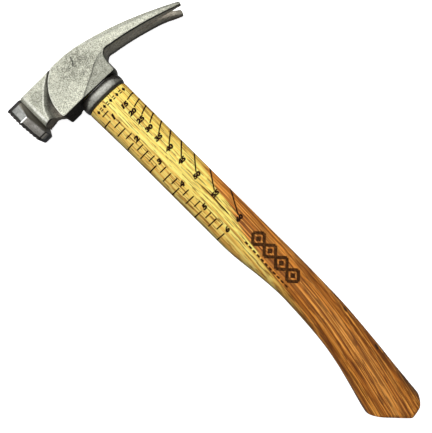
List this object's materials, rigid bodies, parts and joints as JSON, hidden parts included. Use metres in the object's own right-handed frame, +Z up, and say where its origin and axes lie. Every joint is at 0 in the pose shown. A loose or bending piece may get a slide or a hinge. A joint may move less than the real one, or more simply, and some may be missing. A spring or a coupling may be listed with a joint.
{
  "type": "claw hammer",
  "caption": "Claw hammer: cast head with a forked nail claw, separate milled striking cap, guard sleeve and a curved hickory handle wedged in the eye.",
  "frame": {"origin": "centre of the bounding box in plan, on the surface that the hammer lies on", "axes": "+X along the handle towards the head, +Y towards the striking face, -Y towards the claws, +Z up through the thickness, out of the marked side"},
  "size_m": [0.3984, 0.157, 0.027],
  "materials": {
    "cast_metal": "matt, bead-blasted casting",
    "face_steel": "darker hardened steel, milled waffle face",
    "pin_steel": "plain steel, sheared ends",
    "wedge_steel": "plain steel, hammered flush",
    "sleeve_rubber": "dark grey hard rubber, soft sheen",
    "hickory": "lacquered hickory, yellow sapwood and brown heartwood",
    "wedge_wood": "raw end grain"
  },
  "bodies": {
    "root": {"head_casting": "cast_metal", "striking_cap": "face_steel", "cap_pin": "pin_steel", "guard_sleeve": "sleeve_rubber", "handle": "hickory", "wooden_wedge": "wedge_wood", "steel_wedge_1": "wedge_steel", "steel_wedge_2": "wedge_steel"}
  },
  "joints": []
}
